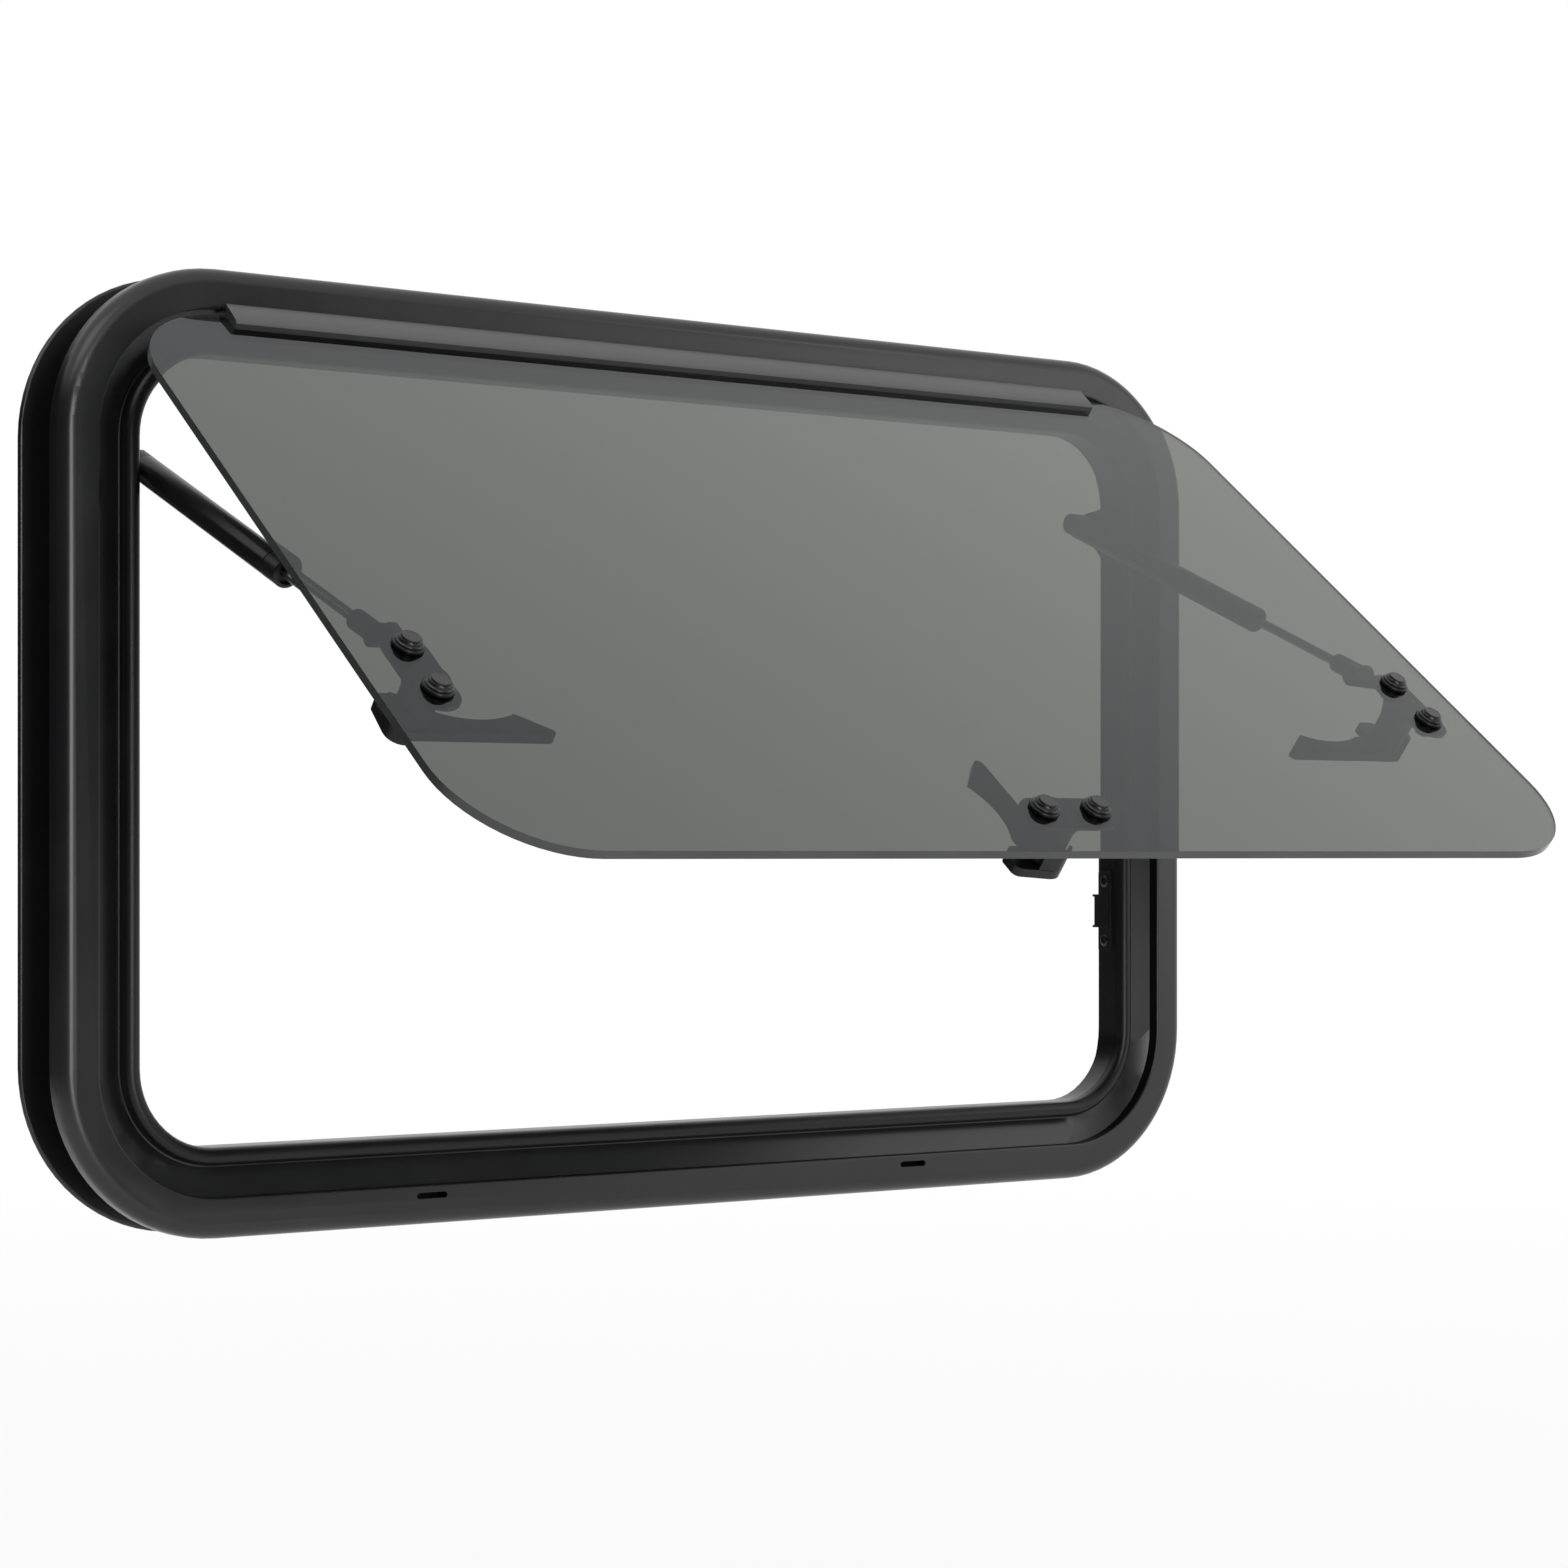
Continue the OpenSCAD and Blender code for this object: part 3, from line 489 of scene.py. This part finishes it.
def strutSleeve(side):
    mouth, radius = strut["mouth"], strut["tubeR"]
    line, seat = mouth + sleeve["length"] - sleeve["groove"], mouth + sleeve["length"]
    end, floor = mouth + sleeve["plugL"], mouth + sleeve["boreL"]
    bore, plug, rod, neck = sleeve["boreR"], sleeve["plugR"], sleeve["rodR"], radius - sleeve["groove"]
    body = spun([(mouth, bore), (mouth, radius - sleeve["chamfer"]), (mouth + sleeve["chamfer"], radius),
                 (line, radius), (line, neck), (seat, neck), (seat, plug), (end, plug), (end, rod),
                 (floor, rod), (floor, bore), (mouth, bore)])
    return assembled("strutSleeve", [(body, sidePlaces[side] @ leftStrut @ sideOn)])


def strutTube(side):
    start, end = strut["mouth"] + sleeve["length"], strut["length"] - strut["endGap"]
    bore, radius = strut["tubeBoreR"], strut["tubeR"]
    tube = spun([(start, bore), (start, radius), (end, radius), (end, bore), (start, bore)])
    return assembled("strutTube", [(tube, sidePlaces[side] @ leftStrut @ sideOn)])


for side in sidePlaces:
    fitted(side + "_strike", softMesh(strikePlate(side), strike["edge"]))
    fitted(side + "_gland", softMesh(strutSleeve(side), sleeve["edge"]))
    fitted(side + "_tube", softMesh(strutTube(side), strut["edge"]))
print("strikes and struts made")


# Stands a fastener on each point, facing as the point says and turned at random about its own axis
def fastenerNodes():
    group = bpy.data.node_groups.new("fasteners", "GeometryNodeTree")
    sockets = group.interface
    sockets.new_socket("Places", in_out="INPUT", socket_type="NodeSocketGeometry")
    kinds = {"Fastener": "Object", "Finish": "Material", "Largest Turn": "Float", "Seed": "Int"}
    for label, kind in kinds.items():
        sockets.new_socket(label, in_out="INPUT", socket_type="NodeSocket" + kind)
    sockets.new_socket("Fasteners", in_out="OUTPUT", socket_type="NodeSocketGeometry")
    links = group.links
    entry = group.nodes.new("NodeGroupInput")
    leave = group.nodes.new("NodeGroupOutput")
    shape = group.nodes.new("GeometryNodeObjectInfo")
    facing = group.nodes.new("GeometryNodeInputNamedAttribute")
    facing.data_type = "FLOAT_VECTOR"
    facing.inputs["Name"].default_value = "facing"
    align = group.nodes.new("FunctionNodeAlignRotationToVector")
    align.axis = "Z"
    chance = group.nodes.new("FunctionNodeRandomValue")
    largest = [socket for socket in chance.inputs if socket.name == "Max" and socket.type == "VALUE"][0]
    drawn = [socket for socket in chance.outputs if socket.type == "VALUE"][0]
    spin = group.nodes.new("FunctionNodeAxisAngleToRotation")
    spin.inputs["Axis"].default_value = (0, 0, 1)
    turn = group.nodes.new("FunctionNodeRotateRotation")
    turn.rotation_space = "LOCAL"
    copies = group.nodes.new("GeometryNodeInstanceOnPoints")
    real = group.nodes.new("GeometryNodeRealizeInstances")
    paint = group.nodes.new("GeometryNodeSetMaterial")
    links.new(entry.outputs["Fastener"], shape.inputs["Object"])
    links.new(facing.outputs["Attribute"], align.inputs["Vector"])
    links.new(entry.outputs["Largest Turn"], largest)
    links.new(entry.outputs["Seed"], chance.inputs["Seed"])
    links.new(drawn, spin.inputs["Angle"])
    links.new(align.outputs["Rotation"], turn.inputs["Rotation"])
    links.new(spin.outputs["Rotation"], turn.inputs["Rotate By"])
    links.new(entry.outputs["Places"], copies.inputs["Points"])
    links.new(shape.outputs["Geometry"], copies.inputs["Instance"])
    links.new(turn.outputs["Rotation"], copies.inputs["Rotation"])
    links.new(copies.outputs["Instances"], real.inputs["Geometry"])
    links.new(real.outputs["Geometry"], paint.inputs["Geometry"])
    links.new(entry.outputs["Finish"], paint.inputs["Material"])
    links.new(paint.outputs["Geometry"], leave.inputs["Fasteners"])
    return group


fastenerGroup = fastenerNodes()
fastenerSockets = {item.name: item.identifier for item in fastenerGroup.interface.items_tree
                   if item.in_out == "INPUT"}


def fastened(name, fastener, places, largestTurn, seed):
    mesh = bpy.data.meshes.new(name + "Places")
    mesh.from_pydata([Vector(spot) * mm for spot, facing in places], [], [])
    directions = mesh.attributes.new("facing", "FLOAT_VECTOR", "POINT")
    for index, (spot, facing) in enumerate(places):
        directions.data[index].vector = facing
    carrier = linked(name + "Carrier", mesh)
    modifier = carrier.modifiers.new("fasteners", "NODES")
    modifier.node_group = fastenerGroup
    values = {"Fastener": fastener, "Finish": finishes[slotOf[name]], "Largest Turn": largestTurn,
              "Seed": seed}
    for label, value in values.items():
        modifier[fastenerSockets[label]] = value
    bpy.context.view_layer.update()
    shape = finishedMesh(carrier)
    carrier.modifiers.clear()
    bpy.data.objects.remove(carrier)
    smoothed(shape)
    fitted(name, shape)


# A domed head with a cross recess, on a plain shank
screwForm = {"shankR": 1.95, "steps": 32, "shoulder": (0.4, 0.86), "crown": 0.6, "armHalf": 0.45,
             "recessFloor": 0.35, "recessOver": 1}
screws = {
    "ringScrew": {"headR": 3.75, "headH": 2.4, "domeH": 1.4, "shankL": 10, "recess": 1.9},
    "stayScrew": {"headR": 3.5, "headH": 1.8, "domeH": 1.0, "shankL": 2.3, "recess": 1.7},
    "strikeScrew": {"headR": 4.0, "headH": 1.0, "domeH": 0.6, "shankL": 2, "recess": 2.0},
}


def screwPattern(name, headR, headH, domeH, shankL, recess):
    shank, half = screwForm["shankR"], screwForm["armHalf"]
    fall, share = screwForm["shoulder"]
    profile = [(-shankL, 0), (-shankL, shank), (0, shank), (0, headR), (headH - domeH, headR),
               (headH - domeH * fall, headR * share), (headH, headR * screwForm["crown"]), (headH, 0)]
    arm = [(-recess, -half), (-half, -half), (-half, -recess), (half, -recess), (half, -half),
           (recess, -half), (recess, half), (half, half), (half, recess), (-half, recess), (-half, half),
           (-recess, half)]
    crossCut = plate([arm], headH * screwForm["recessFloor"], headH + screwForm["recessOver"])
    cutter = linked(name + "Cutter", assembled(name + "Cutter", [(crossCut, unturned)]))
    screw = linked(name, assembled(name, [(spun(profile, screwForm["steps"]), unturned)]))
    cut = screw.modifiers.new("recess", "BOOLEAN")
    cut.operation = "DIFFERENCE"
    cut.object = cutter
    cut.solver = "EXACT"
    bpy.context.view_layer.update()
    shape = finishedMesh(screw)
    screw.modifiers.clear()
    screw.data = shape
    bpy.data.objects.remove(cutter)
    return screw


# The bolt's cap outside the glass is a stepped button; its nut lies on the bracket inside
boltForm = {
    "button": ((-8.5, 0), (-8.5, 3), (7.4, 3), (7.4, 7.6), (8.3, 7.8), (8.8, 7.4), (9.0, 6.75), (10.0, 6.6),
               (10.5, 6.2), (10.5, 5.5), (11.3, 5.3), (11.4, 5.1), (11.4, 4.9), (11.3, 4.8), (11.3, 0)),
    "nutR": 5.5, "nutSides": 6, "nutFrom": -7.5, "nutTo": -2.5}
washerRing = ((5, 3.1), (5, 8.7), (5.5, 9), (6.6, 9), (7.2, 8.7), (7.4, 8.3), (7.4, 3.1), (5, 3.1))


def boltPattern():
    sides = boltForm["nutSides"]
    hexagon = arc(0, 0, boltForm["nutR"], 0, 360 - 360 / sides, sides - 1)
    nut = plate([hexagon], boltForm["nutFrom"], boltForm["nutTo"])
    button = spun(boltForm["button"])
    return linked("boltPattern", assembled("boltPattern", [(button, unturned), (nut, unturned)]))


def washerPattern():
    return linked("washerPattern", assembled("washerPattern", [(spun(washerRing), unturned)]))


# Where the screws stand, in the window's own millimetres, and the seed of their turns
ringLayout = {"depth": 14.8, "middleZ": 261, "toRow": 241.5, "rowGap": 180, "toColumn": 386.5,
              "columnGap": 130, "seed": 3}
stayLayout = {"x": 370.2, "depth": 5, "heights": (436, 397), "seed": 5}
strikeSeed = 7
sideFacings = ((-1, (1, 0, 0)), (1, (-1, 0, 0)))
ringFacing = (0, 1, 0)

depth, middleZ = ringLayout["depth"], ringLayout["middleZ"]
ringPlaces = [((step * ringLayout["rowGap"], depth, middleZ + end * ringLayout["toRow"]), ringFacing)
              for end in (-1, 1) for step in (-1.5, -0.5, 0.5, 1.5)]
ringPlaces += [((end * ringLayout["toColumn"], depth, middleZ + step * ringLayout["columnGap"]), ringFacing)
               for end in (-1, 1) for step in (-1, 0, 1)]
stayPlaces = [((end * stayLayout["x"], stayLayout["depth"], height), facing)
              for end, facing in sideFacings for height in stayLayout["heights"]]
strikeX = strike["wallX"] - strike["thickness"]
strikePlaces = [((end * strikeX, strike["screwY"], latch["sideZ"] + up * strike["screwUp"]), facing)
                for end, facing in sideFacings for up in (-1, 1)]

ringScrew = screwPattern("ringScrew", **screws["ringScrew"])
fastened("ring_screws", ringScrew, ringPlaces, math.tau, ringLayout["seed"])
stayScrew = screwPattern("stayScrew", **screws["stayScrew"])
fastened("stay_screws", stayScrew, stayPlaces, math.tau, stayLayout["seed"])
strikeScrew = screwPattern("strikeScrew", **screws["strikeScrew"])
fastened("strike_screws", strikeScrew, strikePlaces, math.tau, strikeSeed)
bolt = boltPattern()
washer = washerPattern()
for side, place in latchPlaces.items():
    boltPlaces = [(place @ Vector((0, 0, end * latch["boltGap"] / 2)), outward) for end in (-1, 1)]
    fastened(side + "_bolts", bolt, boltPlaces, 0.0, 0)
    fastened(side + "_washers", washer, boltPlaces, 0.0, 0)
for pattern in (ringScrew, stayScrew, strikeScrew, bolt, washer):
    bpy.data.objects.remove(pattern)
print("fasteners made")


# One where the background may be seen: by the camera, in glossy surfaces and through glass
def seenDirectly(tree):
    path = tree.nodes.new("ShaderNodeLightPath")
    seen = path.outputs["Is Camera Ray"]
    for label in ("Is Glossy Ray", "Is Transmission Ray"):
        either = tree.nodes.new("ShaderNodeMath")
        either.operation = "MAXIMUM"
        tree.links.new(seen, either.inputs[0])
        tree.links.new(path.outputs[label], either.inputs[1])
        seen = either.outputs["Value"]
    return seen


# In metres: the floor lies below the window, and its white fades out before its rim
floorSettings = {"height": -0.32, "radius": 5.0, "segments": 96, "fadeStart": 0.8, "fadeEnd": 4.0,
                 "shadowShare": 0.16, "tone": (0.9, 0.9, 0.9, 1), "roughness": 0.9, "shine": 0.1}


def makeFloor():
    material, tree, shader = newMaterial("studioFloor")
    links = tree.links
    shader.inputs["Base Color"].default_value = floorSettings["tone"]
    shader.inputs["Roughness"].default_value = floorSettings["roughness"]
    shader.inputs["Specular IOR Level"].default_value = floorSettings["shine"]
    white = tree.nodes.new("ShaderNodeEmission")
    share = tree.nodes.new("ShaderNodeMath")
    share.operation = "MULTIPLY"
    links.new(seenDirectly(tree), share.inputs[0])
    share.inputs[1].default_value = 1 - floorSettings["shadowShare"]
    bright = tree.nodes.new("ShaderNodeMixShader")
    links.new(share.outputs["Value"], bright.inputs["Fac"])
    links.new(shader.outputs["BSDF"], bright.inputs[1])
    links.new(white.outputs["Emission"], bright.inputs[2])
    reach = tree.nodes.new("ShaderNodeVectorMath")
    reach.operation = "LENGTH"
    links.new(objectCoordinates(tree), reach.inputs[0])
    fade = addNode(tree, "ShaderNodeMapRange",
                   **{"From Min": floorSettings["fadeStart"], "From Max": floorSettings["fadeEnd"]})
    fade.interpolation_type = "SMOOTHSTEP"
    links.new(reach.outputs["Value"], fade.inputs["Value"])
    clear = tree.nodes.new("ShaderNodeBsdfTransparent")
    edge = tree.nodes.new("ShaderNodeMixShader")
    links.new(fade.outputs["Result"], edge.inputs["Fac"])
    links.new(bright.outputs["Shader"], edge.inputs[1])
    links.new(clear.outputs["BSDF"], edge.inputs[2])
    links.new(edge.outputs["Shader"], tree.nodes["Material Output"].inputs["Surface"])
    mesh = bpy.data.meshes.new("studioFloor")
    work = bmesh.new()
    bmesh.ops.create_circle(work, cap_ends=True, segments=floorSettings["segments"],
                            radius=floorSettings["radius"])
    bmesh.ops.translate(work, verts=work.verts, vec=(0, 0, floorSettings["height"]))
    work.to_mesh(mesh)
    work.free()
    mesh.materials.append(material)
    linked("studioFloor", mesh)


# Dark flags that only reflections show: arcs about the window's left side, in degrees from its front
flagSettings = {
    "frontFlag": {"radius": 2.9, "fromDeg": 9, "toDeg": 34, "low": -1.5, "high": 1.6},
    "leftFlag": {"radius": 3.2, "fromDeg": -195, "toDeg": -22, "low": -2.0, "high": 2.2},
}
flagForm = {"centreX": -0.42, "frontDeg": -90, "steps": 24, "tone": (0.004, 0.004, 0.004, 1)}


def makeFlag(name, settings, material):
    steps, front = flagForm["steps"], flagForm["frontDeg"]
    rim = arc(flagForm["centreX"], 0, settings["radius"], settings["fromDeg"] + front,
              settings["toDeg"] + front, steps)
    points = [(x, y, z) for z in (settings["low"], settings["high"]) for x, y in rim]
    strips = [(step, step + 1, steps + 2 + step, steps + 1 + step) for step in range(steps)]
    mesh = bpy.data.meshes.new(name)
    mesh.from_pydata(points, [], strips)
    mesh.materials.append(material)
    flag = linked(name, mesh)
    flag.visible_camera = False
    flag.visible_diffuse = False
    flag.visible_transmission = False
    flag.visible_shadow = False


skySettings = {"horizon": 0.35, "zenith": 0.9, "zenithAt": 0.75}


def makeWorld():
    world = bpy.data.worlds.new("studioWorld")
    world.use_nodes = True
    tree = world.node_tree
    links = tree.links
    split = tree.nodes.new("ShaderNodeSeparateXYZ")
    links.new(tree.nodes.new("ShaderNodeTexCoord").outputs["Generated"], split.inputs["Vector"])
    rise = addNode(tree, "ShaderNodeMapRange",
                   **{"From Max": skySettings["zenithAt"], "To Min": skySettings["horizon"],
                      "To Max": skySettings["zenith"]})
    links.new(split.outputs["Z"], rise.inputs["Value"])
    glow = tree.nodes["Background"]
    glow.inputs["Color"].default_value = (1, 1, 1, 1)
    links.new(rise.outputs["Result"], glow.inputs["Strength"])
    white = addNode(tree, "ShaderNodeBackground", Color=(1, 1, 1, 1))
    mix = tree.nodes.new("ShaderNodeMixShader")
    links.new(seenDirectly(tree), mix.inputs["Fac"])
    links.new(glow.outputs["Background"], mix.inputs[1])
    links.new(white.outputs["Background"], mix.inputs[2])
    links.new(mix.outputs["Shader"], tree.nodes["World Output"].inputs["Surface"])
    bpy.context.scene.world = world


# Places and sizes in metres, powers in watts
lampSettings = {
    "keyLamp": {"place": (-1.6, -1.2, 2.2), "size": (1.6, 1.0), "power": 10},
    "sideLamp": {"place": (2.2, -1.9, 0.9), "size": (0.8, 1.6), "power": 5},
    "stripLamp": {"place": (-0.66, -2.99, 0.2), "size": (0.75, 2.4), "power": 42},
}
lampAim = Vector((0, 0, 0.25))


def makeLamp(name, settings):
    light = bpy.data.lights.new(name, "AREA")
    light.shape = "RECTANGLE"
    light.size, light.size_y = settings["size"]
    light.energy = settings["power"]
    lamp = linked(name, light)
    lamp.location = settings["place"]
    lamp.rotation_euler = (lampAim - lamp.location).to_track_quat("-Z", "Y").to_euler()
    lamp.visible_transmission = False  # no lamp shows through the pane from behind


makeFloor()
makeWorld()
flagCloth, _, flagShader = newMaterial("flagCloth")
flagShader.inputs["Base Color"].default_value = flagForm["tone"]
flagShader.inputs["Specular IOR Level"].default_value = 0.0
for name, settings in flagSettings.items():
    makeFlag(name, settings, flagCloth)
for name, settings in lampSettings.items():
    makeLamp(name, settings)

# The camera looks level, turned to the right, and its shift frames the window as the photo does
cameraSettings = {"place": (-1.29474, -1.86997, 0.2033), "levelDeg": 90, "turnDeg": -36.503, "lens": 82.47,
                  "sensor": 36, "shiftY": 0.04446}
camera = linked("camera", bpy.data.cameras.new("camera"))
camera.location = cameraSettings["place"]
camera.rotation_euler = (math.radians(cameraSettings["levelDeg"]), 0, math.radians(cameraSettings["turnDeg"]))
camera.data.lens = cameraSettings["lens"]
camera.data.sensor_width = cameraSettings["sensor"]
camera.data.shift_y = cameraSettings["shiftY"]
bpy.context.scene.camera = camera
bpy.context.scene.view_settings.view_transform = "Standard"
print("studio and camera placed")
